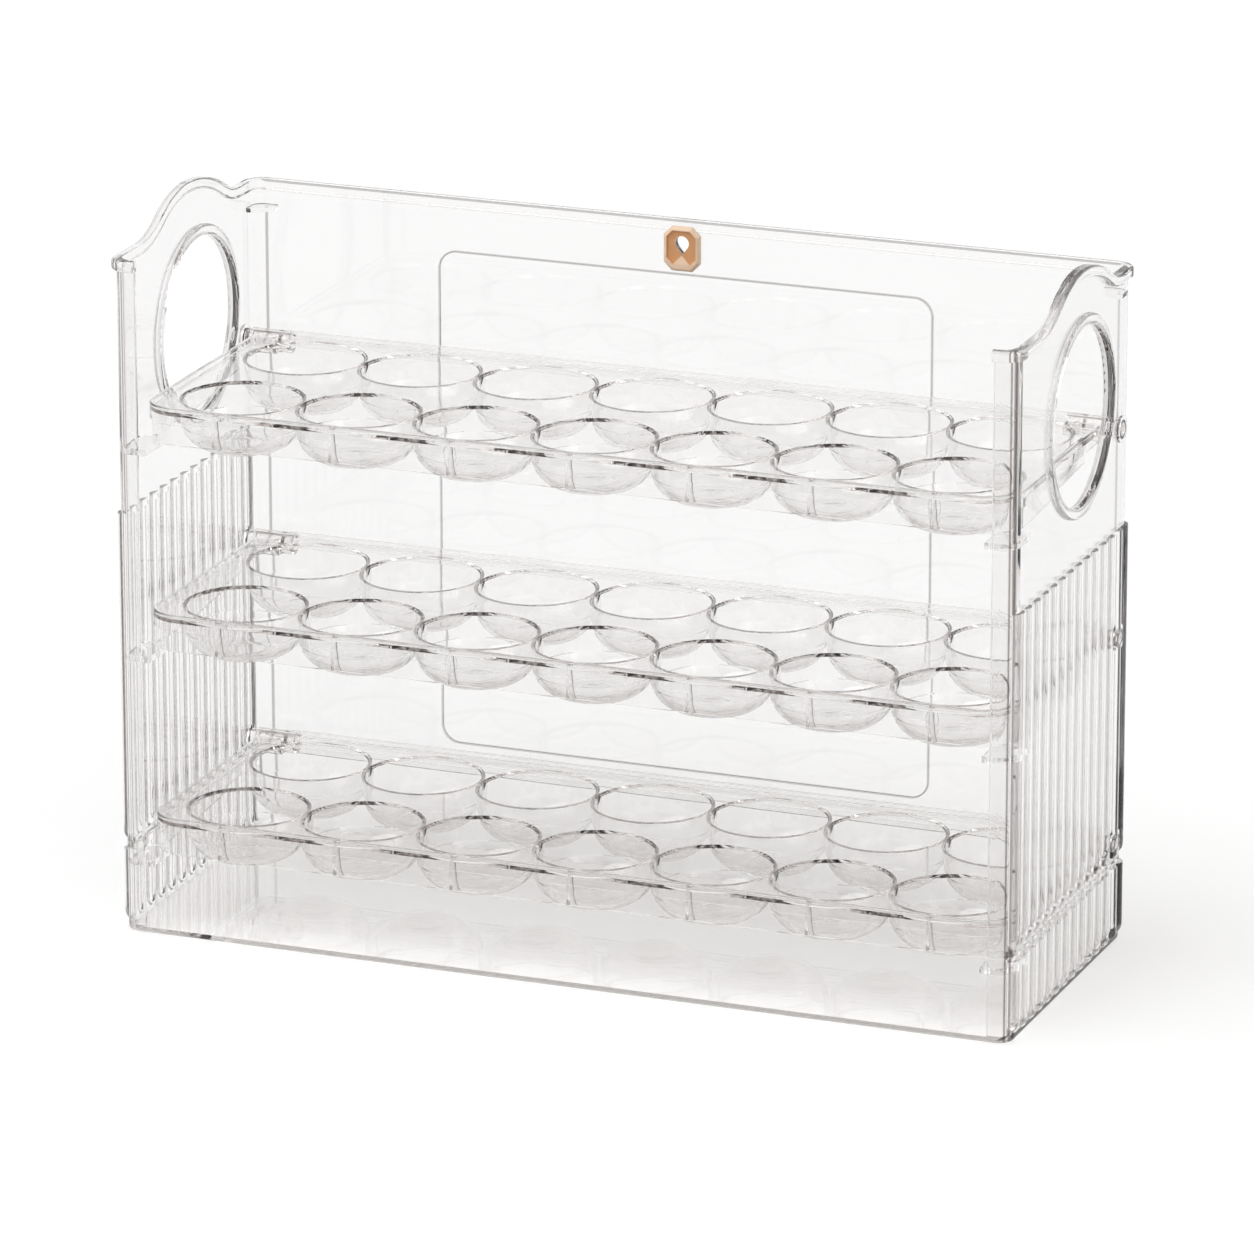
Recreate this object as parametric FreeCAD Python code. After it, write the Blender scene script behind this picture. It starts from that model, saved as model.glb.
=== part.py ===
import FreeCAD, Part
import math
import os

Vec = FreeCAD.Vector
X_AXIS = Vec(1, 0, 0)
Z_AXIS = Vec(0, 0, 1)
LEFT, RIGHT = -1, 1

# Three-tier flip egg holder, clear moulded plastic, millimetres.
# Origin: middle of the footprint, on the surface it stands on. Front is -Y, up is +Z.

# Body: base moulding and upper shell share one plan outline
body_width = 349.0
body_depth = 129.0
wall = 2.0
corner_radius = 6.0
return_width = 9.0
return_round_share = 0.4
base_height = 32.5
floor_thickness = 2.5
base_foot_round = 1.6
rim_height = 259.0
joint_bevel = 0.4

# Tongue of the base that locates the shell
tongue_height = 2.4
tongue_clearance = 0.1

# Lip round the open top, with a raised ear above each hand hole
lip_overhang = 2.0
lip_height = 4.3
lip_round = 1.2
ear_rise = 13.0
ear_peak_y = 2.5
ear_front_run = 44.5
ear_back_run = 47.5
front_crown_share = 0.573
back_crown_share = 0.705

# Hand hole in each side with a round-edged collar
hand_hole_diameter = 67.0
hand_hole_y = 8.0
hand_hole_drop = 43.0
collar_width = 4.2
collar_depth = 4.6
collar_round = 1.2

# Upright flutes on both sides: a ridge outside, a narrower groove inside, a wider ridge at each corner
flute_pitch = 9.3
flute_width = 6.2
flute_rise = 2.0
corner_flute_width = 6.6
corner_flute_rise = 1.6
groove_width = 4.6
groove_depth = 1.3
flute_run = 129.0
flute_end_gap = 1.5
groove_foot_gap = 2.0

# Corner gusset at the back, just under the lip, which stops the raised top tray
gusset_reach = 9.5
gusset_thickness = 1.6
gusset_drop = 11.0

# Shallow panel pressed into the outside of the back wall
panel_width = 196.0
panel_top_drop = 21.0
panel_foot_gap = 12.0
panel_corner = 7.0
panel_depth = 0.5

# Tray tiers and the corner ledges that carry the trays' front corners
tier_names = ["bottom", "middle", "top"]
tier_pitch = 79.5
lowest_seat = 28.5
seat_gap = 0.2
ledge_reach = 10.0
ledge_length = 17.0
ledge_thickness = 2.5
ledge_round = 3.5

# Tray outline
tray_side_gap = 3.5
tray_front_setback = 8.5
tray_back_gap = 2.0
tray_corner = 14.0
notch_width = 8.5
notch_depth = 12.0
notch_corner = 3.0

# Tray section: top band, lower skirt, deck
tray_height = 14.0
band_height = 6.0
band_wall = 1.8
band_round = 0.7
skirt_inset = 0.8
skirt_wall = 1.6
skirt_rear_setback = 17.0
skirt_slope_run = 65.0
skirt_slope_rise = 4.0
deck_drop = 1.5
deck_thickness = 1.6

# Egg cups
cup_diameter = 44.0
cup_web = 2.5
cup_depth = 17.5
cup_side_depth = 9.5
cup_side_draft = 1.0
cup_floor_diameter = 16.0
cup_wall = 1.6
cup_flare = 0.7
cup_rows = 2
rib_thickness = 1.3

# Hinge: pins pressed through the side walls, tray lugs turning on them
pivot_from_back_wall = 9.5
pivot_drop = 2.5
pin_radius = 2.5
pin_press_clearance = 0.02
pin_running_clearance = 0.05
pin_head_radius = 3.6
pin_head_thickness = 1.0
pin_head_dome = 0.3
pin_tip_setback = 1.0
pin_boss_radius = 5.0
pin_boss_rise = 1.0
thrust_collar_radius = 3.6
thrust_gap = 0.3
lug_radius = 4.2
lug_length = 16.0
lug_wall_gap = 2.2

# Hang plate at the top of the back wall, with a teardrop hole
plate_width = 14.5
plate_height = 17.0
plate_thickness = 2.0
plate_corner = 3.0
plate_bevel = 0.8
plate_top_drop = 2.4
plate_frame = 1.7
plate_recess_corner = 1.6
plate_recess_depth = 0.5
teardrop_drop = 6.3
teardrop_radius = 2.8
teardrop_point = 4.6

overrun = 1.0

# Faces and levels that several pieces share
half_width = body_width / 2
half_depth = body_depth / 2
inner_half_width = half_width - wall
inner_half_depth = half_depth - wall
inner_corner = corner_radius - wall
hand_hole_z = rim_height - hand_hole_drop
seat_levels = [lowest_seat + tier * tier_pitch for tier in range(len(tier_names))]
side_names = {LEFT: "left", RIGHT: "right"}

tray_half_width = inner_half_width - tray_side_gap
tray_front = -half_depth + tray_front_setback
tray_back = inner_half_depth - tray_back_gap
flange_back = tray_back - notch_depth
pivot_y = inner_half_depth - pivot_from_back_wall
pivot_above_seat = seat_gap + tray_height - pivot_drop
lug_end = inner_half_width - lug_wall_gap


def box(x_low, x_high, y_low, y_high, z_low, z_high):
    size = (x_high - x_low, y_high - y_low, z_high - z_low)
    return Part.makeBox(*size, Vec(x_low, y_low, z_low))


def rounded_slab(half_x, y_low, y_high, front_round, back_round, z_low, z_high):
    """Upright slab, symmetric in X, with its four upright edges rounded."""
    corners = [
        (-half_x, y_low, front_round, 180),
        (half_x, y_low, front_round, 270),
        (half_x, y_high, back_round, 0),
        (-half_x, y_high, back_round, 90),
    ]
    arcs = []
    for x, y, radius, start in corners:
        centre_x = x - math.copysign(radius, x)
        centre_y = y + radius if y == y_low else y - radius
        points = []
        for angle in (start, start + 45, start + 90):
            turn = math.radians(angle)
            points.append(Vec(centre_x + radius * math.cos(turn),
                              centre_y + radius * math.sin(turn), z_low))
        arcs.append(points)
    edges = []
    for points, following in zip(arcs, arcs[1:] + arcs[:1]):
        edges.append(Part.Arc(*points).toShape())
        edges.append(Part.makeLine(points[-1], following[0]))
    return Part.Face(Part.Wire(edges)).extrude(Vec(0, 0, z_high - z_low))


def upright_slab(half_x, z_low, z_high, corner, thickness, back_y):
    """Rounded slab that stands against a plane at the back."""
    slab = rounded_slab(half_x, z_low, z_high, corner, corner, 0, thickness)
    slab.rotate(Vec(), X_AXIS, 90)
    slab.translate(Vec(0, back_y, 0))
    return slab


def prism_x(outline, x_low, x_high):
    """Closed outline of (y, z) points, extruded along X."""
    points = [Vec(x_low, y, z) for y, z in outline]
    wire = Part.makePolygon(points + points[:1])
    return Part.Face(wire).extrude(Vec(x_high - x_low, 0, 0))


def rod_x(radius, x_start, x_end, y, z):
    """Round bar along X between two places, given in either order."""
    low, high = sorted((x_start, x_end))
    return Part.makeCylinder(radius, high - low, Vec(low, y, z), X_AXIS)


def fused(first, others):
    return first.fuse(others).removeSplitter()


def body_ring(outset, inset, z_low, z_high):
    """Wall band on the body's plan: sides, back and the two short front returns."""
    outer = rounded_slab(half_width + outset, -half_depth - outset, half_depth + outset,
                         corner_radius + outset, corner_radius + outset, z_low, z_high)
    hollow = rounded_slab(half_width - inset, -half_depth + inset, half_depth - inset,
                          corner_radius - inset, corner_radius - inset, z_low, z_high)
    mouth_half = half_width - return_width
    mouth = box(-mouth_half, mouth_half, -half_depth - outset - overrun, 0, z_low, z_high)
    return outer.cut([hollow, mouth])


def runs_outside(edge, outset):
    """True for an edge that runs along the body's outline at that outset, not up it."""
    middle = edge.valueAt((edge.FirstParameter + edge.LastParameter) / 2)
    radius = corner_radius + outset
    dx = abs(middle.x) - (half_width + outset - radius)
    dy = abs(middle.y) - (half_depth + outset - radius)
    outside = max(dx, dy) if min(dx, dy) < 0 else math.hypot(dx, dy)
    upright = edge.BoundBox.ZLength > edge.Length / 2
    return abs(outside - radius) < wall / 10 and not upright


def body_walls(z_low, z_high, joint_z):
    """Walls of one moulding, with round free edges in front and a bevel along the joint."""
    walls = body_ring(0, wall, z_low, z_high)
    mouth_half = half_width - return_width
    free = [edge for edge in walls.Edges
            if edge.BoundBox.ZLength > (z_high - z_low) / 2
            and abs(abs(edge.CenterOfMass.x) - mouth_half) < wall / 10]
    walls = walls.makeFillet(wall * return_round_share, free)
    joint = [edge for edge in walls.Edges
             if abs(edge.CenterOfMass.z - joint_z) < wall / 10 and runs_outside(edge, 0)]
    return walls.makeChamfer(joint_bevel, joint)


def arc_edge(y, z, radius, start, end):
    points = []
    for angle in (start, (start + end) / 2, end):
        points.append(Vec(0, y + radius * math.cos(angle), z + radius * math.sin(angle)))
    return Part.Arc(*points).toShape()


def rim_curve(depth):
    """Rim line seen from the side, lowered square to itself by depth: flat, ear, flat."""
    up = math.pi / 2
    front_turn = 2 * math.atan(ear_rise / ear_front_run)
    back_turn = 2 * math.atan(ear_rise / ear_back_run)
    front_sum = ear_front_run / math.sin(front_turn)
    back_sum = ear_back_run / math.sin(back_turn)
    front_crown = front_sum * front_crown_share
    back_crown = back_sum * back_crown_share
    front_foot = front_sum - front_crown
    back_foot = back_sum - back_crown
    peak = rim_height + ear_rise
    reach = half_depth + lip_overhang + overrun
    front_y = ear_peak_y - ear_front_run
    back_y = ear_peak_y + ear_back_run
    level = rim_height - depth
    return [
        Part.makeLine(Vec(0, -reach, level), Vec(0, front_y, level)),
        arc_edge(front_y, rim_height + front_foot, front_foot + depth, -up, -up + front_turn),
        arc_edge(ear_peak_y, peak - front_crown, front_crown - depth, up + front_turn, up),
        arc_edge(ear_peak_y, peak - back_crown, back_crown - depth, up, up - back_turn),
        arc_edge(back_y, rim_height + back_foot, back_foot + depth, -up - back_turn, -up),
        Part.makeLine(Vec(0, back_y, level), Vec(0, reach, level)),
    ]


def between_curves(upper, lower):
    """Slab along X over the whole body between two lines of edges seen from the side."""
    ends = []
    for place in (0, -1):
        tops = upper[place].Vertexes[place].Point
        foots = lower[place].Vertexes[place].Point
        ends.append(Part.makeLine(tops, foots))
    wire = Part.Wire(Part.__sortEdges__(upper + lower + ends))
    reach = half_width + lip_overhang + overrun
    slab = Part.Face(wire).extrude(Vec(reach + reach, 0, 0))
    slab.translate(Vec(-reach, 0, 0))
    return slab


def lip():
    band = between_curves(rim_curve(0), rim_curve(lip_height))
    ring = body_ring(lip_overhang, wall, rim_height - lip_height - overrun,
                     rim_height + ear_rise + overrun)
    rim = ring.common(band)
    outer = [edge for edge in rim.Edges if runs_outside(edge, lip_overhang)]
    return rim.makeFillet(lip_round, outer)


def round_bar(width, depth, side, face_x, z_low, z_high):
    """Upright bar whose round section stands depth past a wall face: flat top, round foot."""
    radius = (width ** 2 / 4 + depth ** 2) / (depth + depth)
    centre = Vec(side * (face_x + depth - radius), 0, z_low + radius)
    bar = Part.makeCylinder(radius, z_high - z_low - radius, centre)
    return fused(bar, [Part.makeSphere(radius, centre)])


def flute_places():
    flat_run = body_depth - corner_radius - corner_radius
    count = int(flat_run // flute_pitch)
    first = -flute_pitch * (count - 1) / 2
    return [first + flute_pitch * place for place in range(count)]


def copies_along_y(shape, places):
    return [shape.translated(Vec(0, y, 0)) for y in places]


def flute_ridges(side, z_low, z_high):
    """Ridges along one side, and a wider one where the side turns into each corner."""
    core = rounded_slab(half_width - wall / 2, -half_depth + wall / 2, half_depth - wall / 2,
                        corner_radius - wall / 2, corner_radius - wall / 2, z_low, z_high)
    bar = round_bar(flute_width, flute_rise, side, half_width, z_low, z_high)
    corner_bar = round_bar(corner_flute_width, corner_flute_rise, side, half_width, z_low, z_high)
    corner_y = half_depth - corner_radius
    ridges = copies_along_y(bar.cut(core), flute_places())
    return ridges + [end.cut(core) for end in copies_along_y(corner_bar, (-corner_y, corner_y))]


def flute_grooves(side, z_low, z_high):
    bar = round_bar(groove_width, groove_depth, side, inner_half_width, z_low, z_high)
    return copies_along_y(bar, flute_places())


def corner_ledge(side, seat):
    """Small shelf in a front inner corner, with a rounded inner edge and end."""
    reach_x = inner_half_width - ledge_reach
    far_y = -inner_half_depth + ledge_length
    slab = rounded_slab(half_width - wall / 2, -half_depth + wall / 2, far_y,
                        inner_corner, ledge_round, seat - ledge_thickness, seat)
    limits = sorted((side * reach_x, side * half_width))
    corner = box(*limits, -half_depth, far_y, seat - ledge_thickness, seat)
    shelf = slab.common(corner)
    upright = [edge for edge in shelf.Edges
               if edge.BoundBox.ZLength > ledge_thickness / 2
               and abs(edge.CenterOfMass.x - side * reach_x) < ledge_round / 10
               and abs(edge.CenterOfMass.y - far_y) < ledge_round / 10]
    return shelf.makeFillet(ledge_round, upright)


def ledges(tiers):
    return [corner_ledge(side, seat_levels[tier]) for tier in tiers for side in (LEFT, RIGHT)]


def corner_gusset(side):
    level = rim_height - gusset_drop
    disc = Part.makeCylinder(gusset_reach, gusset_thickness,
                             Vec(side * inner_half_width, inner_half_depth, level))
    inside = rounded_slab(half_width - wall / 2, 0, half_depth - wall / 2,
                          inner_corner, inner_corner, level, level + gusset_thickness)
    return disc.common(inside)


def pin_seats():
    """Bosses outside and thrust collars inside for every pin, and the holes through them."""
    bosses = []
    holes = []
    collar_end = lug_end + thrust_gap
    boss_face = half_width + pin_boss_rise
    head_floor = boss_face - pin_head_thickness
    clear_x = half_width + flute_rise + overrun
    for seat in seat_levels:
        z = seat + pivot_above_seat
        for side in (LEFT, RIGHT):
            bosses.append(rod_x(pin_boss_radius, side * (half_width - wall / 2),
                                side * boss_face, pivot_y, z))
            bosses.append(rod_x(thrust_collar_radius, side * collar_end,
                                side * half_width, pivot_y, z))
            holes.append(rod_x(pin_radius + pin_press_clearance, side * (collar_end - overrun),
                               side * clear_x, pivot_y, z))
            holes.append(rod_x(pin_head_radius + pin_press_clearance, side * head_floor,
                               side * clear_x, pivot_y, z))
    return bosses, holes


def teardrop(y_low, y_high):
    """Hang hole: round above, drawn to a point below."""
    z = rim_height - plate_top_drop - teardrop_drop
    turn = math.asin(teardrop_radius / teardrop_point)
    side_x = teardrop_radius * math.cos(turn)
    side_z = z - teardrop_radius * math.sin(turn)
    left, right = Vec(-side_x, y_low, side_z), Vec(side_x, y_low, side_z)
    top, point = Vec(0, y_low, z + teardrop_radius), Vec(0, y_low, z - teardrop_point)
    wire = Part.Wire([Part.Arc(left, top, right).toShape(),
                      Part.makeLine(right, point), Part.makeLine(point, left)])
    return Part.Face(wire).extrude(Vec(0, y_high - y_low, 0))


def back_panel():
    """Shallow rounded panel pressed into the outside of the back wall."""
    low = base_height + panel_foot_gap
    high = rim_height - panel_top_drop
    return upright_slab(panel_width / 2, low, high, panel_corner, panel_depth + overrun,
                        half_depth + overrun)


def hand_hole_collar(side):
    """Ring round a hand hole, standing past both faces of the wall, with all edges rounded."""
    radius = hand_hole_diameter / 2
    middle = side * (half_width - wall / 2)
    place = (middle - collar_depth / 2, middle + collar_depth / 2, hand_hole_y, hand_hole_z)
    ring = rod_x(radius + collar_width, *place).cut(rod_x(radius, *place))
    ends = [edge for edge in ring.Edges if edge.BoundBox.XLength < collar_depth / 2]
    return ring.makeFillet(collar_round, ends)


def hand_hole(side):
    radius = hand_hole_diameter / 2 + collar_width / 2
    return rod_x(radius, side * (inner_half_width - collar_depth),
                 side * (half_width + collar_depth), hand_hole_y, hand_hole_z)


def upper_shell():
    """Sides, back and front returns in one moulding, open at the top and front."""
    foot = [Part.makeLine(Vec(0, -half_depth - lip_overhang - overrun, base_height),
                          Vec(0, half_depth + lip_overhang + overrun, base_height))]
    below_rim = between_curves(rim_curve(lip_height / 2), foot)
    walls = body_walls(base_height, rim_height + ear_rise, base_height).common(below_rim)
    ridge_low = base_height + flute_end_gap
    groove_low = base_height + tongue_height + groove_foot_gap
    sides = (LEFT, RIGHT)
    added = [lip()] + ledges(range(1, len(tier_names)))
    grooves = []
    for side in sides:
        added += flute_ridges(side, ridge_low, base_height + flute_run)
        grooves += flute_grooves(side, groove_low, base_height + flute_run - flute_rise)
    walls = fused(walls, added)
    rebate = body_ring(-wall / 2, wall + overrun, base_height,
                       base_height + tongue_height + tongue_clearance)
    walls = walls.cut(grooves + [hand_hole(side) for side in sides] + [rebate, back_panel()])
    bosses, holes = pin_seats()
    gussets = [corner_gusset(side) for side in sides]
    collars = [hand_hole_collar(side) for side in sides]
    walls = fused(walls, bosses + gussets + collars)
    return walls.cut(holes + [teardrop(0, half_depth + overrun)])


def base():
    """Floor tray of the body: a flat floor with low fluted walls and a locating tongue."""
    floor = rounded_slab(half_width, -half_depth, half_depth, corner_radius, corner_radius,
                         0, floor_thickness)
    foot_edges = [edge for edge in floor.Edges if edge.BoundBox.ZMax < floor_thickness / 2]
    floor = floor.makeFillet(base_foot_round, foot_edges)
    walls = body_walls(floor_thickness - base_foot_round / 2, base_height, base_height)
    tongue = body_ring(-wall / 2 - tongue_clearance, wall, base_height - wall,
                       base_height + tongue_height)
    added = [walls, tongue] + ledges(range(1))
    grooves = []
    for side in (LEFT, RIGHT):
        added += flute_ridges(side, floor_thickness, base_height - flute_end_gap)
        grooves += flute_grooves(side, floor_thickness + flute_end_gap,
                                 base_height - flute_end_gap - flute_rise)
    return fused(floor, added).cut(grooves)


def hang_plate():
    """Small plate bonded inside the back wall: a bevelled frame, a sunk panel, the hang hole."""
    top = rim_height - plate_top_drop
    front = inner_half_depth - plate_thickness
    plate = upright_slab(plate_width / 2, top - plate_height, top, plate_corner,
                         plate_thickness, inner_half_depth)
    rim = [edge for edge in plate.Edges if edge.BoundBox.YMax < front + plate_thickness / 2]
    recess = upright_slab(plate_width / 2 - plate_frame, top - plate_height + plate_frame,
                          top - plate_frame, plate_recess_corner, plate_recess_depth + overrun,
                          front + plate_recess_depth)
    hole = teardrop(0, inner_half_depth + overrun)
    return plate.makeChamfer(plate_bevel, rim).cut([recess, hole])


def tray_flange(inset, z_low, z_high):
    """Tray outline taken in by inset: full width in front, notched at the back corners."""
    half = tray_half_width - inset
    front = rounded_slab(half, tray_front + inset, flange_back - inset,
                         tray_corner - inset, notch_corner, z_low, z_high)
    back = rounded_slab(half - notch_width, tray_front + tray_corner, tray_back - inset,
                        notch_corner, notch_corner, z_low, z_high)
    return fused(front, [back])


def tray_skirt():
    """Wall under the band along the front and sides, rising towards its rear end."""
    rear = tray_back - notch_depth - skirt_rear_setback
    top = tray_height - band_height / 2
    rings = []
    for inset in (skirt_inset, skirt_inset + skirt_wall):
        rings.append(rounded_slab(tray_half_width - inset, tray_front + inset, flange_back,
                                  tray_corner - inset, notch_corner, 0, top))
    ring = rings[0].cut(rings[1])
    keep = prism_x([(tray_front, 0), (rear - skirt_slope_run, 0), (rear, skirt_slope_rise),
                    (rear, top), (tray_front, top)], -tray_half_width, tray_half_width)
    return ring.common(keep)


def cup_profile(grow):
    """Half section of a cup, from its axis outwards, grown by a wall thickness."""
    deck = tray_height - deck_drop
    floor = deck - cup_depth - grow
    shoulder = deck - cup_side_depth
    floor_r = cup_floor_diameter / 2
    rim_r = cup_diameter / 2 + grow
    shoulder_r = rim_r - cup_side_draft
    knee_r = floor_r + (shoulder_r - floor_r) * math.sin(math.pi / 4)
    knee_z = floor + (shoulder - floor) * (1 - math.cos(math.pi / 4))
    return deck, [Vec(0, 0, floor), Vec(floor_r, 0, floor), Vec(knee_r, 0, knee_z),
                  Vec(shoulder_r, 0, shoulder), Vec(rim_r, 0, deck)]


def turned(points, top_points):
    """Solid of revolution: flat floor, one arc, then straight lines up to the top."""
    axis_low, floor, knee, shoulder, rim = points
    chain = [rim] + top_points
    edges = [Part.makeLine(axis_low, floor), Part.Arc(floor, knee, shoulder).toShape(),
             Part.makeLine(shoulder, rim)]
    edges += [Part.makeLine(a, b) for a, b in zip(chain, chain[1:])]
    edges.append(Part.makeLine(chain[-1], axis_low))
    return Part.Face(Part.Wire(edges)).revolve(Vec(), Z_AXIS, 360)


def cup_outside():
    deck, points = cup_profile(cup_wall)
    points[-1].z = deck - deck_thickness / 2
    return turned(points, [Vec(0, 0, points[-1].z)])


def cup_inside():
    """Hollow of a cup, eased at the rim and open above the deck."""
    deck, points = cup_profile(0)
    points[-1].z = deck - cup_flare
    flare = Vec(points[-1].x + cup_flare, 0, deck)
    above = deck + deck_drop
    return turned(points, [flare, Vec(flare.x, 0, above), Vec(0, 0, above)])


def cup_centres():
    """Rows share the tray's depth evenly; columns fill its width at the cups' pitch."""
    pitch = cup_diameter + cup_web
    clear_width = 2 * (tray_half_width - band_wall)
    columns = int((clear_width + cup_web) // pitch)
    row_pitch = (tray_back - tray_front) / cup_rows
    centres = []
    for row in range(cup_rows):
        for column in range(columns):
            centres.append(Vec(pitch * (column - (columns - 1) / 2),
                               tray_front + row_pitch * (row + 1 / 2), 0))
    return centres


def front_rib(centre):
    """Thin upright web from the front skirt to a cup of the front row."""
    deck, points = cup_profile(cup_wall)
    floor = points[0].z
    skirt_y = tray_front + skirt_inset + skirt_wall / 2
    top = tray_height - band_height / 2
    return prism_x([(skirt_y, 0), (centre.y - cup_floor_diameter / 2, floor), (centre.y, floor),
                    (centre.y, top), (skirt_y, top)],
                   centre.x - rib_thickness / 2, centre.x + rib_thickness / 2)


def tray_band():
    """Raised band round the tray's edge, eased along its top."""
    band = tray_flange(0, tray_height - band_height, tray_height)
    rim = [edge for edge in band.Edges if edge.BoundBox.ZMin > tray_height - band_height / 2]
    band = band.makeFillet(band_round, rim)
    return band.cut(tray_flange(band_wall, tray_height - band_height, tray_height))


def egg_tray():
    """Moulded tray with deck, band, skirt, cups, front webs and two hinge lugs."""
    deck = tray_height - deck_drop
    pivot_z = tray_height - pivot_drop
    added = [tray_band(), tray_skirt()]
    centres = cup_centres()
    outside = cup_outside()
    inside = cup_inside()
    added += [outside.translated(centre) for centre in centres]
    added += [front_rib(centre) for centre in centres if centre.y < 0]
    bores = []
    for side in (LEFT, RIGHT):
        ends = (side * (lug_end - lug_length), side * lug_end)
        added.append(rod_x(lug_radius, *ends, pivot_y, pivot_z))
        bores.append(rod_x(pin_radius + pin_running_clearance, *ends, pivot_y, pivot_z))
    tray = fused(tray_flange(band_wall / 2, deck - deck_thickness, deck), added)
    return tray.cut([inside.translated(centre) for centre in centres] + bores)


def hinge_pin(side):
    """Headed pin, pressed in from outside; its shank carries the tray's lug."""
    seat_x = half_width + pin_boss_rise - pin_head_thickness
    tip_x = lug_end - lug_length + pin_tip_setback
    head_edge = seat_x + pin_head_thickness
    outline = [Vec(tip_x, 0, 0), Vec(tip_x, pin_radius, 0), Vec(seat_x, pin_radius, 0),
               Vec(seat_x, pin_head_radius, 0), Vec(head_edge, pin_head_radius, 0)]
    crown = Vec(head_edge + pin_head_dome, 0, 0)
    dome_r = (pin_head_radius ** 2 + pin_head_dome ** 2) / (pin_head_dome + pin_head_dome)
    turn = math.asin(pin_head_radius / dome_r) / 2
    middle = Vec(crown.x - dome_r * (1 - math.cos(turn)), dome_r * math.sin(turn), 0)
    edges = [Part.makeLine(a, b) for a, b in zip(outline, outline[1:])]
    edges.append(Part.Arc(outline[-1], middle, crown).toShape())
    edges.append(Part.makeLine(crown, outline[0]))
    pin = Part.Face(Part.Wire(edges)).revolve(Vec(), X_AXIS, 360)
    return pin if side == RIGHT else pin.mirror(Vec(), X_AXIS)


def write(name, shape):
    solids = shape.Solids
    if len(solids) != 1 or not shape.isValid():
        print("check", name, "solids", len(solids), "valid", shape.isValid())
    solids[0].exportStep("parts/" + name + ".step")
    print(name, "volume", round(solids[0].Volume), "faces", len(solids[0].Faces))


def main():
    os.makedirs("parts", exist_ok=True)
    write("base", base())
    write("upper_shell", upper_shell())
    write("hang_plate", hang_plate())
    tray = egg_tray()
    for tier, seat in enumerate(seat_levels):
        name = tier_names[tier]
        write("egg_tray_" + name, tray.translated(Vec(0, 0, seat + seat_gap)))
        for side in (LEFT, RIGHT):
            pin = hinge_pin(side).translated(Vec(0, pivot_y, seat + pivot_above_seat))
            write("hinge_pin_" + name + "_" + side_names[side], pin)


main()
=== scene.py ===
import math

import bmesh
import bpy
from mathutils import Euler, Matrix, Vector


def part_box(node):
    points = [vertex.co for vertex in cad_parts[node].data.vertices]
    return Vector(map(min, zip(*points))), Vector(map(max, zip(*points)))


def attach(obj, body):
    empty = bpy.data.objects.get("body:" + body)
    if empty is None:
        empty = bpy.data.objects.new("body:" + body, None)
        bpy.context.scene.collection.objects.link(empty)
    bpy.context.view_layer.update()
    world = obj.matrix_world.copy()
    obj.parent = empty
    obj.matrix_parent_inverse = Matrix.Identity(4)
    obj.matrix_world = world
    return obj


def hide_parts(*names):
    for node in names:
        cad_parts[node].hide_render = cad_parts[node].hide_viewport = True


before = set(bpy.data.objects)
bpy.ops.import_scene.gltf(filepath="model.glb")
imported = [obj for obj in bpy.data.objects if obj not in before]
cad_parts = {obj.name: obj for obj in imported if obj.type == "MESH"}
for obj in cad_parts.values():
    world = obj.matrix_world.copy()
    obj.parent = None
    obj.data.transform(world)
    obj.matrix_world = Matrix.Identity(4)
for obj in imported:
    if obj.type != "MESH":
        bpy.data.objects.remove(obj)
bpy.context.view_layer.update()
scene = bpy.context.scene

# Camera of the photograph: an unshifted long lens, seen from front right and a little above
CAMERA_PLACE = Vector((1.1406, -2.9098, 1.0982))
CAMERA_AZIMUTH = math.radians(21.37)
CAMERA_ELEVATION = math.radians(17.39)
CAMERA_ROLL = math.radians(-0.073)
CAMERA_LENS_MM = 255.0
CAMERA_REACH = 30.0
SENSOR_MM = 36.0

# Clear plastic: what a lamp's light keeps at each face, and the warm grey that deepens with thickness
PASSED_LIGHT = (0.905, 0.90, 0.895, 1.0)
DEPTH_COLOUR = (0.28, 0.20, 0.17, 1.0)
# Painted shade: dark warm grey painted into the body's colour along its edge lines; then the paler tint
# of its fluted walls
PAINTED_EDGE_SHADE = (0.11, 0.086, 0.076, 1.0)
FLUTE_TINT = (0.990, 0.988, 0.987, 1.0)
# Each clear moulding: scale of its flow marks, clean and hazy tint, polish range, ripple in metres,
# depth of tint
CLEAR_FINISHES = {
    "clear_shell": (22.0, (0.945, 0.942, 0.940, 1.0), (0.925, 0.921, 0.918, 1.0),
                    0.0, 0.02, 0.000003, 4.0),
    "clear_base": (22.0, (0.955, 0.952, 0.950, 1.0), (0.935, 0.931, 0.928, 1.0),
                   0.0, 0.02, 0.000003, 3.5),
    "clear_tray": (40.0, (0.975, 0.973, 0.972, 1.0), (0.955, 0.952, 0.950, 1.0),
                   0.0, 0.02, 0.000003, 12.0),
    "clear_pin": (90.0, (0.975, 0.973, 0.972, 1.0), (0.955, 0.952, 0.950, 1.0),
                  0.01, 0.03, 0.000002, 8.0),
}
LINED_FINISHES = ("clear_shell", "clear_base")
PLASTIC_IOR = 1.5
FINE_GRAIN = 900.0
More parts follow.
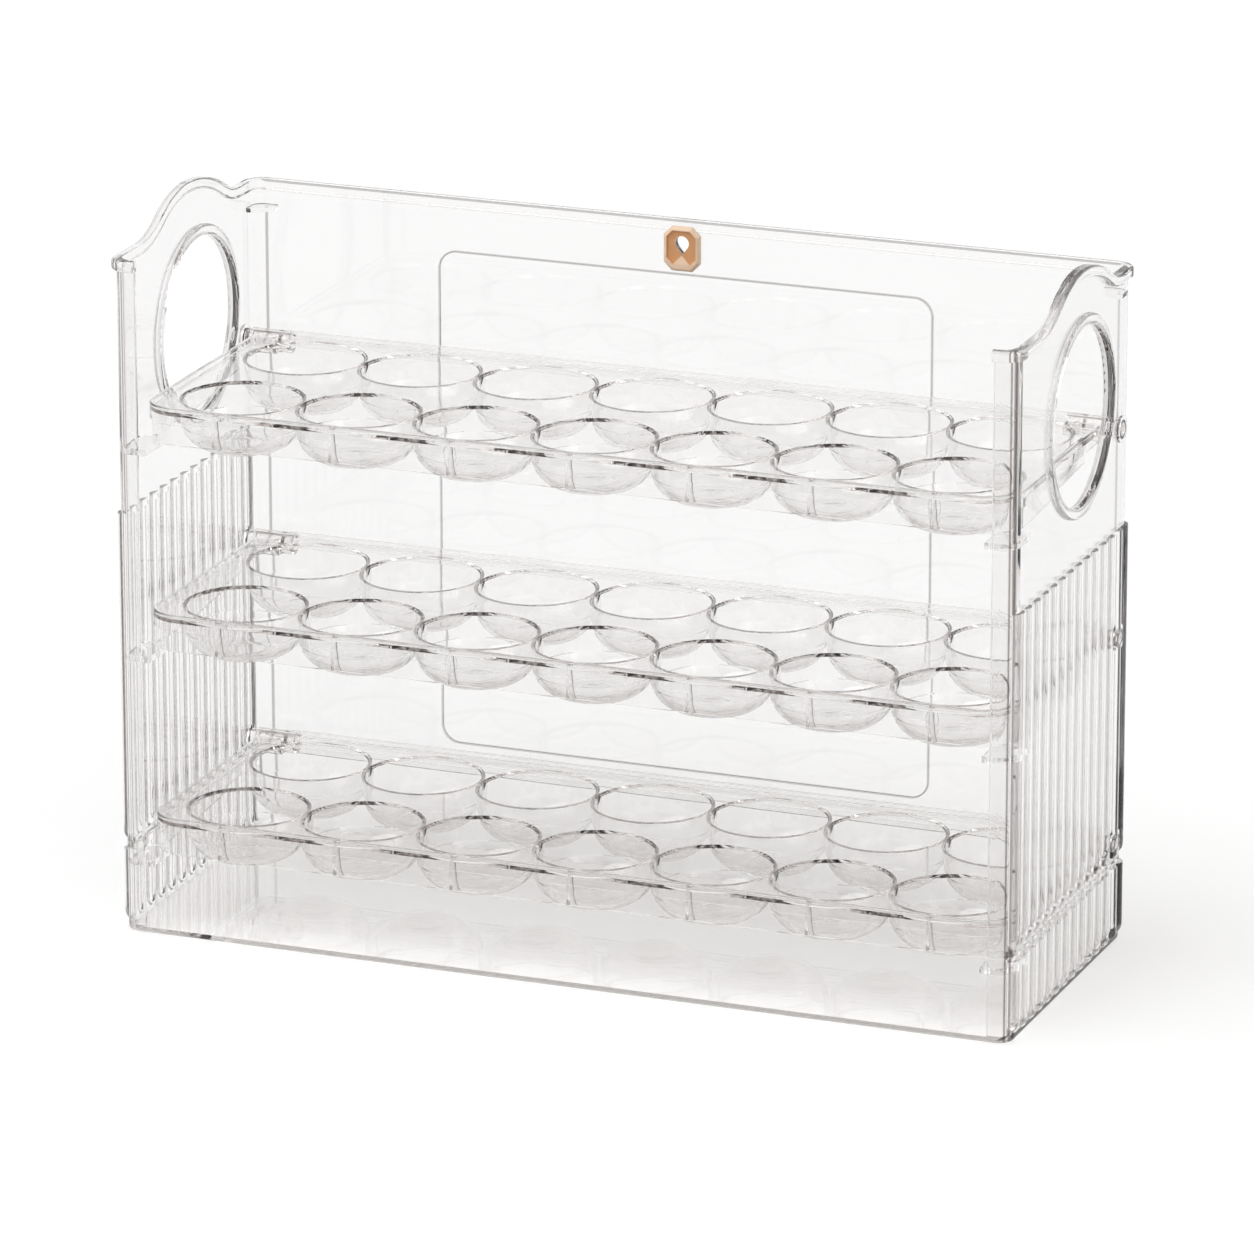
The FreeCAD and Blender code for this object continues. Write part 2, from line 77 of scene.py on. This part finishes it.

# Where painted shade darkens the body's edges, in metres, and how much of it: flutes, back panel, rim,
# inner back corners, front posts, hand hole collars
FLUTE_PITCH = 0.0093
FLUTE_FLANK = 0.00775
FLUTE_TOP = 0.1605
FLUTE_REACH = 0.0560
FLUTE_SHARE = 0.66
SIDE_FACE = 0.1715
BACK_FACE = 0.0600
PANEL_HALF_WIDTH = 0.0980
PANEL_HALF_HEIGHT = 0.09675
PANEL_MIDDLE = 0.14125
PANEL_ROUND = 0.0070
PANEL_SHARE = 0.62
RIM_TOP = 0.2590
RIM_FOOT = 0.2547
RIM_FOOT_SHARE = 0.38
CREST_SHARE = 0.72
RIM_BACK = 0.0649
LIP_FACE = 0.0640
CORNER_LINE = 0.1685
CORNER_TOP = 0.2470
CORNER_SHARE = 0.74
LIP_TOP = 0.2586
LIP_INSIDE = 0.0620
LIP_SHARE = 0.18
FRONT_LINE = 0.1736
FRONT_FACE = -0.0570
FRONT_SHARE = 0.95
FRONT_INNER_LINE = 0.1721
COLLAR_Y = 0.0080
COLLAR_Z = 0.2160
COLLAR_FACE = 0.1710
COLLAR_LINES = (0.0342, 0.0373)
COLLAR_SHARE = 0.42
LINE_CORE = 0.00018
LINE_EDGE = 0.00045
BROAD_CORE = 0.00020
BROAD_EDGE = 0.00060

# Hang plate, in metres: gap of its bond, cut corners, bevelled frame, sunk panel, wider foot, hang
# hole, small ramp under the hole
PLATE_BOND = 0.0001
PLATE_CORNER = 0.0032
PLATE_BEVEL = 0.0011
PLATE_FRAME = 0.0004
PLATE_SLOPE = 0.0003
PLATE_SUNK = 0.0008
PLATE_FOOT = 0.0013
HOLE_DROP = 0.0063
HOLE_RADIUS = 0.0028
HOLE_POINT = 0.0046
HOLE_SEGMENTS = 48
RAMP_HALF = 0.0034
RAMP_ROOT = 0.0004
PALE_PEACH = ((0.92, 0.68, 0.49, 1.0), (0.88, 0.62, 0.43, 1.0))
DEEP_PEACH = ((0.78, 0.41, 0.19, 1.0), (0.71, 0.34, 0.14, 1.0))

# Peach plastic: scale of its flow marks, polish range, ripple in metres, strength of its gloss
PEACH_SCALE = 260.0
PEACH_SMOOTH = 0.10
PEACH_DULL = 0.24
PEACH_RIPPLE = 0.00001
PEACH_GLOSS = 0.3

# Studio: an even white floor, a dim warm room above it, soft screens that show as highlights
FLOOR_HALF = 3.0
FLOOR_DROP = 0.0003
FLOOR_COLOUR = (0.85, 0.85, 0.85, 1.0)
FLOOR_GLOW = 0.25
SKY_FILL = 0.42
ROOM_COLOUR = (0.36, 0.33, 0.315, 1.0)
HORIZON_FOOT = 0.30
HORIZON_TOP = 0.52
WHITE = (1.0, 1.0, 1.0, 1.0)
KEY_FROM = Vector((-0.62, -0.50, 1.05))
KEY_STRENGTH = 1.5
KEY_ANGLE = math.radians(55)
FILL_FROM = Vector((0.75, -0.70, 1.10))
FILL_STRENGTH = 0.5
FILL_ANGLE = math.radians(60)
LIGHT_BOUNCES = 40
GLOSS_BOUNCES = 32
# Screens: direction from the object, angle of the even part and of the soft edge, strength
SCREENS = [
    (Vector((-0.70, -0.35, 0.62)), math.radians(16), math.radians(24), 1.2),
    (Vector((0.10, 0.55, 0.83)), math.radians(18), math.radians(28), 1.0),
    (Vector((0.85, -0.30, 0.42)), math.radians(9), math.radians(15), 1.0),
]


def link(tree, source, target):
    tree.links.new(source, target)


def node(tree, kind, **values):
    """New shader node with its plain settings and unlinked inputs set by name."""
    made = tree.nodes.new(kind)
    for key, value in values.items():
        if key in made.inputs:
            made.inputs[key].default_value = value
        else:
            setattr(made, key, value)
    return made


def add_camera():
    data = bpy.data.cameras.new("camera")
    data.lens = CAMERA_LENS_MM
    data.sensor_width = SENSOR_MM
    data.clip_end = CAMERA_REACH
    camera = bpy.data.objects.new("camera", data)
    scene.collection.objects.link(camera)
    tilt = Euler((math.pi / 2 - CAMERA_ELEVATION, 0, CAMERA_AZIMUTH)).to_matrix()
    turn = tilt @ Matrix.Rotation(CAMERA_ROLL, 3, "Z")
    camera.matrix_world = Matrix.Translation(CAMERA_PLACE) @ turn.to_4x4()
    scene.camera = camera


def add_sun(name, place, strength, angle):
    data = bpy.data.lights.new(name, "SUN")
    data.energy = strength
    data.angle = angle
    lamp = bpy.data.objects.new(name, data)
    scene.collection.objects.link(lamp)
    lamp.rotation_euler = place.to_track_quat("Z", "Y").to_euler()


def screen_level(tree, sight, place, inner, outer, strength):
    """Strength of one soft round screen in the direction looked at."""
    facing = node(tree, "ShaderNodeVectorMath", operation="DOT_PRODUCT")
    facing.inputs[1].default_value = place.normalized()
    link(tree, sight, facing.inputs[0])
    soft = node(tree, "ShaderNodeMapRange", interpolation_type="SMOOTHSTEP")
    soft.inputs["From Min"].default_value = math.cos(outer)
    soft.inputs["From Max"].default_value = math.cos(inner)
    soft.inputs["To Max"].default_value = strength
    link(tree, facing.outputs["Value"], soft.inputs["Value"])
    return soft.outputs[0]


def add_world():
    """White to the eye; to gloss and glass a white horizon, a dim room and a few bright screens."""
    world = bpy.data.worlds.new("studio")
    scene.world = world
    world.use_nodes = True
    tree = world.node_tree
    tree.nodes.clear()
    sight = node(tree, "ShaderNodeTexCoord").outputs["Generated"]
    axes = node(tree, "ShaderNodeSeparateXYZ")
    link(tree, sight, axes.inputs[0])
    horizon = node(tree, "ShaderNodeMapRange", interpolation_type="SMOOTHSTEP")
    horizon.inputs["From Min"].default_value = HORIZON_FOOT
    horizon.inputs["From Max"].default_value = HORIZON_TOP
    link(tree, axes.outputs["Z"], horizon.inputs["Value"])
    room = node(tree, "ShaderNodeMix", data_type="RGBA", A=WHITE, B=ROOM_COLOUR)
    link(tree, horizon.outputs[0], room.inputs["Factor"])
    total = None
    for screen in SCREENS:
        level = screen_level(tree, sight, *screen)
        if total is not None:
            both = node(tree, "ShaderNodeMath", operation="ADD")
            link(tree, total, both.inputs[0])
            link(tree, level, both.inputs[1])
            level = both.outputs[0]
        total = level
    walls = node(tree, "ShaderNodeBackground", Strength=1.0)
    link(tree, room.outputs["Result"], walls.inputs["Color"])
    screens = node(tree, "ShaderNodeBackground", Color=WHITE)
    link(tree, total, screens.inputs["Strength"])
    around = node(tree, "ShaderNodeAddShader")
    link(tree, walls.outputs[0], around.inputs[0])
    link(tree, screens.outputs[0], around.inputs[1])
    plain = node(tree, "ShaderNodeBackground", Color=WHITE, Strength=1.0)
    fill = node(tree, "ShaderNodeBackground", Color=WHITE, Strength=SKY_FILL)
    rays = node(tree, "ShaderNodeLightPath")
    seen = node(tree, "ShaderNodeMath", operation="MAXIMUM")
    link(tree, rays.outputs["Is Glossy Ray"], seen.inputs[0])
    link(tree, rays.outputs["Is Transmission Ray"], seen.inputs[1])
    mirrored = node(tree, "ShaderNodeMixShader")
    link(tree, seen.outputs[0], mirrored.inputs[0])
    link(tree, fill.outputs[0], mirrored.inputs[1])
    link(tree, around.outputs[0], mirrored.inputs[2])
    direct = node(tree, "ShaderNodeMixShader")
    link(tree, rays.outputs["Is Camera Ray"], direct.inputs[0])
    link(tree, mirrored.outputs[0], direct.inputs[1])
    link(tree, plain.outputs[0], direct.inputs[2])
    out = node(tree, "ShaderNodeOutputWorld")
    link(tree, direct.outputs[0], out.inputs["Surface"])


def new_material(name):
    material = bpy.data.materials.new(name)
    material.use_nodes = True
    material.node_tree.nodes.clear()
    return material, material.node_tree


def floor_material():
    """Matt white sweep; to eye, gloss and glass it glows a little, so it is white and keeps shadows."""
    material, tree = new_material("white_sweep")
    matt = node(tree, "ShaderNodeBsdfDiffuse", Color=FLOOR_COLOUR)
    glow = node(tree, "ShaderNodeEmission", Color=WHITE)
    rays = node(tree, "ShaderNodeLightPath")
    sight = node(tree, "ShaderNodeMath", operation="ADD")
    sight.use_clamp = True
    link(tree, rays.outputs["Is Camera Ray"], sight.inputs[0])
    link(tree, rays.outputs["Is Glossy Ray"], sight.inputs[1])
    through = node(tree, "ShaderNodeMath", operation="ADD")
    through.use_clamp = True
    link(tree, sight.outputs[0], through.inputs[0])
    link(tree, rays.outputs["Is Transmission Ray"], through.inputs[1])
    strength = node(tree, "ShaderNodeMath", operation="MULTIPLY")
    strength.inputs[1].default_value = FLOOR_GLOW
    link(tree, through.outputs[0], strength.inputs[0])
    link(tree, strength.outputs[0], glow.inputs["Strength"])
    both = node(tree, "ShaderNodeAddShader")
    link(tree, matt.outputs[0], both.inputs[0])
    link(tree, glow.outputs[0], both.inputs[1])
    out = node(tree, "ShaderNodeOutputMaterial")
    link(tree, both.outputs[0], out.inputs["Surface"])
    return material


def add_floor():
    bpy.ops.mesh.primitive_plane_add(size=2 * FLOOR_HALF, location=(0, 0, -FLOOR_DROP))
    floor = bpy.context.object
    floor.name = "floor"
    floor.data.materials.append(floor_material())


def moulding_group():
    """Faint unevenness of moulded plastic: tint, roughness and a flow ripple for the bump."""
    tree = bpy.data.node_groups.new("moulding_flow", "ShaderNodeTree")
    face = tree.interface
    for name, kind in (("Scale", "NodeSocketFloat"), ("Clean", "NodeSocketColor"),
                       ("Hazy", "NodeSocketColor"), ("Smooth", "NodeSocketFloat"),
                       ("Dull", "NodeSocketFloat")):
        face.new_socket(name, in_out="INPUT", socket_type=kind)
    for name, kind in (("Tint", "NodeSocketColor"), ("Roughness", "NodeSocketFloat"),
                       ("Ripple", "NodeSocketFloat")):
        face.new_socket(name, in_out="OUTPUT", socket_type=kind)
    given = node(tree, "NodeGroupInput")
    place = node(tree, "ShaderNodeTexCoord")
    broad = node(tree, "ShaderNodeTexNoise", Detail=2.0, Roughness=0.5)
    link(tree, place.outputs["Object"], broad.inputs["Vector"])
    link(tree, given.outputs["Scale"], broad.inputs["Scale"])
    fine = node(tree, "ShaderNodeTexNoise", Scale=FINE_GRAIN, Detail=3.0, Roughness=0.6)
    link(tree, place.outputs["Object"], fine.inputs["Vector"])
    tint = node(tree, "ShaderNodeMix", data_type="RGBA")
    link(tree, broad.outputs[0], tint.inputs["Factor"])
    link(tree, given.outputs["Clean"], tint.inputs["A"])
    link(tree, given.outputs["Hazy"], tint.inputs["B"])
    dull = node(tree, "ShaderNodeMapRange")
    link(tree, fine.outputs[0], dull.inputs["Value"])
    link(tree, given.outputs["Smooth"], dull.inputs["To Min"])
    link(tree, given.outputs["Dull"], dull.inputs["To Max"])
    sent = node(tree, "NodeGroupOutput")
    link(tree, tint.outputs["Result"], sent.inputs["Tint"])
    link(tree, dull.outputs[0], sent.inputs["Roughness"])
    link(tree, broad.outputs[0], sent.inputs["Ripple"])
    return tree


def calc(tree, operation, *values):
    """One math node; each value is a number or an output."""
    made = node(tree, "ShaderNodeMath", operation=operation)
    for socket, value in zip(made.inputs, values):
        if isinstance(value, (int, float)):
            socket.default_value = value
        else:
            link(tree, value, socket)
    return made.outputs[0]


def product(tree, first, *others):
    for other in others:
        first = calc(tree, "MULTIPLY", first, other)
    return first


def above(tree, value, limit):
    return calc(tree, "GREATER_THAN", value, limit)


def below(tree, value, limit):
    return calc(tree, "LESS_THAN", value, limit)


def distance(tree, one, other):
    squares = [calc(tree, "MULTIPLY", side, side) for side in (one, other)]
    return calc(tree, "SQRT", calc(tree, "ADD", *squares))


def line_at(tree, value, place, core=LINE_CORE, edge=LINE_EDGE):
    """One along a thin line where the value is at its place, fading to zero beside it."""
    away = calc(tree, "ABSOLUTE", calc(tree, "SUBTRACT", value, place))
    fade = node(tree, "ShaderNodeMapRange", interpolation_type="SMOOTHSTEP")
    for key, number in (("From Min", core), ("From Max", edge), ("To Min", 1.0), ("To Max", 0.0)):
        fade.inputs[key].default_value = number
    link(tree, away, fade.inputs["Value"])
    return fade.outputs[0]


def edge_group():
    """Mask of the thin lines of painted shade along the body's edges, and of its fluted walls."""
    tree = bpy.data.node_groups.new("painted_edge_shade", "ShaderNodeTree")
    for name in ("Mask", "Fluted"):
        tree.interface.new_socket(name, in_out="OUTPUT", socket_type="NodeSocketFloat")
    axes = node(tree, "ShaderNodeSeparateXYZ")
    link(tree, node(tree, "ShaderNodeTexCoord").outputs["Object"], axes.inputs[0])
    x, y, z = axes.outputs
    out_x = calc(tree, "ABSOLUTE", x)
    out_y = calc(tree, "ABSOLUTE", y)
    on_back = above(tree, y, BACK_FACE)
    on_front = below(tree, y, FRONT_FACE)
    broad = (BROAD_CORE, BROAD_EDGE)

    along = calc(tree, "FLOORED_MODULO", y, FLUTE_PITCH)
    fluted = product(tree, above(tree, out_x, SIDE_FACE), below(tree, z, FLUTE_TOP),
                     below(tree, out_y, FLUTE_REACH))
    flutes = product(tree, line_at(tree, along, FLUTE_FLANK, *broad), FLUTE_SHARE, fluted)

    up = calc(tree, "ABSOLUTE", calc(tree, "SUBTRACT", z, PANEL_MIDDLE))
    past_x = calc(tree, "SUBTRACT", out_x, PANEL_HALF_WIDTH - PANEL_ROUND)
    past_z = calc(tree, "SUBTRACT", up, PANEL_HALF_HEIGHT - PANEL_ROUND)
    out_of_panel = distance(tree, *(calc(tree, "MAXIMUM", past, 0) for past in (past_x, past_z)))
    panel = product(tree, line_at(tree, out_of_panel, PANEL_ROUND), on_back, PANEL_SHARE)

    leaning = calc(tree, "ADD", calc(tree, "SUBTRACT", y, RIM_BACK), z)
    crest = product(tree, above(tree, leaning, RIM_TOP), above(tree, y, RIM_BACK), CREST_SHARE)
    top = product(tree, above(tree, z, LIP_TOP), LIP_SHARE, above(tree, y, LIP_INSIDE))
    foot = product(tree, line_at(tree, z, RIM_FOOT), RIM_FOOT_SHARE, above(tree, y, LIP_FACE))

    corner = product(tree, line_at(tree, out_x, CORNER_LINE), on_back, below(tree, z, CORNER_TOP),
                     CORNER_SHARE)
    post = product(tree, line_at(tree, out_x, FRONT_LINE, *broad), FRONT_SHARE, on_front)
    post_inside = product(tree, line_at(tree, out_x, FRONT_INNER_LINE), FRONT_SHARE, on_front)

    from_hole = distance(tree, calc(tree, "SUBTRACT", y, COLLAR_Y), calc(tree, "SUBTRACT", z, COLLAR_Z))
    rings = [line_at(tree, from_hole, place, *broad) for place in COLLAR_LINES]
    collar = product(tree, calc(tree, "MAXIMUM", *rings), COLLAR_SHARE, above(tree, out_x, COLLAR_FACE))

    total = flutes
    for lines in (panel, crest, top, foot, corner, post, post_inside, collar):
        total = calc(tree, "MAXIMUM", total, lines)
    sent = node(tree, "NodeGroupOutput")
    link(tree, total, sent.inputs["Mask"])
    link(tree, fluted, sent.inputs["Fluted"])
    return tree


def uneven_plastic(tree, flow, scale, tints, smooth, dull, ripple):
    """Flow marks in a material, and the bump that they give."""
    uneven = node(tree, "ShaderNodeGroup", node_tree=flow)
    for key, value in (("Scale", scale), ("Clean", tints[0]), ("Hazy", tints[1]), ("Smooth", smooth),
                       ("Dull", dull)):
        uneven.inputs[key].default_value = value
    bump = node(tree, "ShaderNodeBump", Strength=1.0, Distance=ripple)
    link(tree, uneven.outputs["Ripple"], bump.inputs["Height"])
    return uneven, bump


def clear_plastic(name, flow, edges, scale, clean, hazy, smooth, dull, ripple, density):
    """Water-clear moulded plastic; lamps reach through it, so it casts a pale shadow."""
    material, tree = new_material(name)
    uneven, bump = uneven_plastic(tree, flow, scale, (clean, hazy), smooth, dull, ripple)
    glass = node(tree, "ShaderNodeBsdfPrincipled")
    glass.inputs["IOR"].default_value = PLASTIC_IOR
    glass.inputs["Transmission Weight"].default_value = 1.0
    colour = uneven.outputs["Tint"]
    # Painted shade: dark lines mixed into the base colour along the body's edges, over a paler tint on
    # its fluted walls
    if edges:
        lines = node(tree, "ShaderNodeGroup", node_tree=edges)
        for mask, tint in (("Fluted", FLUTE_TINT), ("Mask", PAINTED_EDGE_SHADE)):
            lined = node(tree, "ShaderNodeMix", data_type="RGBA", B=tint)
            link(tree, lines.outputs[mask], lined.inputs["Factor"])
            link(tree, colour, lined.inputs["A"])
            colour = lined.outputs["Result"]
    link(tree, colour, glass.inputs["Base Color"])
    link(tree, uneven.outputs["Roughness"], glass.inputs["Roughness"])
    link(tree, bump.outputs[0], glass.inputs["Normal"])
    shade = node(tree, "ShaderNodeBsdfTransparent", Color=PASSED_LIGHT)
    depth = node(tree, "ShaderNodeVolumeAbsorption", Color=DEPTH_COLOUR, Density=density)
    rays = node(tree, "ShaderNodeLightPath")
    choice = node(tree, "ShaderNodeMixShader")
    link(tree, rays.outputs["Is Shadow Ray"], choice.inputs[0])
    link(tree, glass.outputs[0], choice.inputs[1])
    link(tree, shade.outputs[0], choice.inputs[2])
    out = node(tree, "ShaderNodeOutputMaterial")
    link(tree, choice.outputs[0], out.inputs["Surface"])
    link(tree, depth.outputs[0], out.inputs["Volume"])
    return material


def peach_plastic(name, flow, tints):
    """Glossy peach plastic, a little uneven in colour."""
    material, tree = new_material(name)
    uneven, bump = uneven_plastic(tree, flow, PEACH_SCALE, tints, PEACH_SMOOTH, PEACH_DULL, PEACH_RIPPLE)
    plastic = node(tree, "ShaderNodeBsdfPrincipled")
    plastic.inputs["IOR"].default_value = PLASTIC_IOR
    plastic.inputs["Specular IOR Level"].default_value = PEACH_GLOSS
    link(tree, uneven.outputs["Tint"], plastic.inputs["Base Color"])
    link(tree, uneven.outputs["Roughness"], plastic.inputs["Roughness"])
    link(tree, bump.outputs[0], plastic.inputs["Normal"])
    out = node(tree, "ShaderNodeOutputMaterial")
    link(tree, plastic.outputs[0], out.inputs["Surface"])
    return material


def bevelled(bm, edges, offset):
    bmesh.ops.bevel(bm, geom=edges, offset=offset, offset_type="OFFSET", affect="EDGES",
                    segments=1, profile=0.5, material=-1)
    bm.normal_update()


def front_face(bm):
    return min(bm.faces, key=lambda face: (face.calc_center_median().y, -face.calc_area()))


def new_object(name, bm):
    mesh = bpy.data.meshes.new(name)
    bm.to_mesh(mesh)
    bm.free()
    made = bpy.data.objects.new(name, mesh)
    scene.collection.objects.link(made)
    return made


def plate_blank(low, high):
    """Plate with cut corners, a bevelled frame and a sunk panel that ends above its foot."""
    size = high - low
    bm = bmesh.new()
    bmesh.ops.create_cube(bm, size=1.0)
    bmesh.ops.scale(bm, vec=size, verts=bm.verts)
    bmesh.ops.translate(bm, vec=(low + high) / 2, verts=bm.verts)
    across = [edge for edge in bm.edges if abs(edge.verts[0].co.y - edge.verts[1].co.y) > size.y / 2]
    bevelled(bm, across, PLATE_CORNER)
    bevelled(bm, list(front_face(bm).edges), PLATE_BEVEL)
    panel = front_face(bm)
    bmesh.ops.inset_individual(bm, faces=[panel], thickness=PLATE_FRAME, depth=0)
    lower = [vert for vert in panel.verts if vert.co.z < (low.z + high.z) / 2]
    bmesh.ops.translate(bm, vec=(0, 0, PLATE_FOOT), verts=lower)
    slope = bmesh.ops.inset_individual(bm, faces=[panel], thickness=PLATE_SLOPE, depth=-PLATE_SUNK)
    for face in slope["faces"] + [panel]:
        face.material_index = 1
    foot_z = min(vert.co.z for vert in panel.verts)
    floor_y = panel.calc_center_median().y
    return new_object("peach_hang_plate", bm), floor_y, foot_z


def hole_cutter(low, high):
    """Prism of the hang hole: round above, drawn to a point below."""
    centre = Vector((0, low.y - HOLE_RADIUS, high.z - HOLE_DROP))
    bm = bmesh.new()
    turn = Matrix.Rotation(math.pi / 2, 3, "X")
    bmesh.ops.create_circle(bm, segments=HOLE_SEGMENTS, radius=HOLE_RADIUS, cap_ends=True)
    bmesh.ops.rotate(bm, matrix=turn, verts=bm.verts)
    straight = math.asin(HOLE_RADIUS / HOLE_POINT)
    reach = HOLE_RADIUS * math.cos(straight)
    drop = HOLE_RADIUS * math.sin(straight)
    for vert in bm.verts:
        if vert.co.z < -drop:
            share = abs(vert.co.x) / reach
            vert.co.z = -HOLE_POINT + share * (HOLE_POINT - drop)
    bmesh.ops.translate(bm, vec=centre, verts=bm.verts)
    grown = bmesh.ops.extrude_face_region(bm, geom=list(bm.faces))
    moved = [part for part in grown["geom"] if isinstance(part, bmesh.types.BMVert)]
    bmesh.ops.translate(bm, vec=(0, high.y - low.y + 2 * HOLE_RADIUS, 0), verts=moved)
    bmesh.ops.recalc_face_normals(bm, faces=bm.faces)
    for face in bm.faces:
        face.material_index = 1
    return new_object("hole_cutter", bm)


def ramp_block(low, high, floor_y, foot_z):
    """Low three-cornered ramp from the hole's point down to the plate's foot."""
    point_z = high.z - HOLE_DROP - HOLE_POINT
    bm = bmesh.new()
    corners = [(0, point_z), (-RAMP_HALF, foot_z - RAMP_ROOT), (RAMP_HALF, foot_z - RAMP_ROOT)]
    face = bm.faces.new([bm.verts.new((x, floor_y + RAMP_ROOT, z)) for x, z in corners])
    grown = bmesh.ops.extrude_face_region(bm, geom=[face])
    front = [part for part in grown["geom"] if isinstance(part, bmesh.types.BMVert)]
    bmesh.ops.translate(bm, vec=(0, -RAMP_ROOT, 0), verts=front)
    raised = [vert for vert in front if vert.co.z < point_z - RAMP_ROOT]
    bmesh.ops.translate(bm, vec=(0, -PLATE_SUNK, 0), verts=raised)
    bmesh.ops.recalc_face_normals(bm, faces=bm.faces)
    return new_object("ramp_block", bm)


def add_hang_plate(frame_peach, panel_peach):
    """Plate with its ramp joined and its hole cut, in place of the plain solid."""
    low, high = (Vector(corner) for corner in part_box("hang_plate"))
    high.y -= PLATE_BOND
    plate, floor_y, foot_z = plate_blank(low, high)
    ramp = ramp_block(low, high, floor_y, foot_z)
    cutter = hole_cutter(low, high)
    for part in (plate, ramp, cutter):
        part.data.materials.append(frame_peach)
        part.data.materials.append(panel_peach)
    for helper, operation in ((ramp, "UNION"), (cutter, "DIFFERENCE")):
        step = plate.modifiers.new(helper.name, "BOOLEAN")
        step.operation = operation
        step.object = helper
        step.solver = "EXACT"
    made = plate.evaluated_get(bpy.context.evaluated_depsgraph_get())
    mesh = bpy.data.meshes.new_from_object(made)
    plate.modifiers.clear()
    plate.data = mesh
    mesh.name = plate.name
    for helper in (ramp, cutter):
        bpy.data.objects.remove(helper, do_unlink=True)
    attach(plate, "body")
    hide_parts("hang_plate")


def dress(name, material):
    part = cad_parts[name]
    part.data.materials.clear()
    part.data.materials.append(material)


scene.view_settings.view_transform = "Standard"
scene.cycles.max_bounces = LIGHT_BOUNCES
scene.cycles.transmission_bounces = LIGHT_BOUNCES
scene.cycles.transparent_max_bounces = LIGHT_BOUNCES
scene.cycles.glossy_bounces = GLOSS_BOUNCES

add_camera()
add_world()
add_sun("key", KEY_FROM, KEY_STRENGTH, KEY_ANGLE)
add_sun("fill", FILL_FROM, FILL_STRENGTH, FILL_ANGLE)
add_floor()
flow = moulding_group()
edges = edge_group()
clear = {}
for finish, values in CLEAR_FINISHES.items():
    clear[finish] = clear_plastic(finish, flow, edges if finish in LINED_FINISHES else None, *values)
for part_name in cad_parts:
    if part_name.startswith("egg_tray"):
        dress(part_name, clear["clear_tray"])
    elif part_name.startswith("hinge_pin"):
        dress(part_name, clear["clear_pin"])
dress("base", clear["clear_base"])
dress("upper_shell", clear["clear_shell"])
deep_peach = peach_plastic("deep_peach", flow, DEEP_PEACH)
dress("hang_plate", deep_peach)
add_hang_plate(peach_plastic("pale_peach", flow, PALE_PEACH), deep_peach)
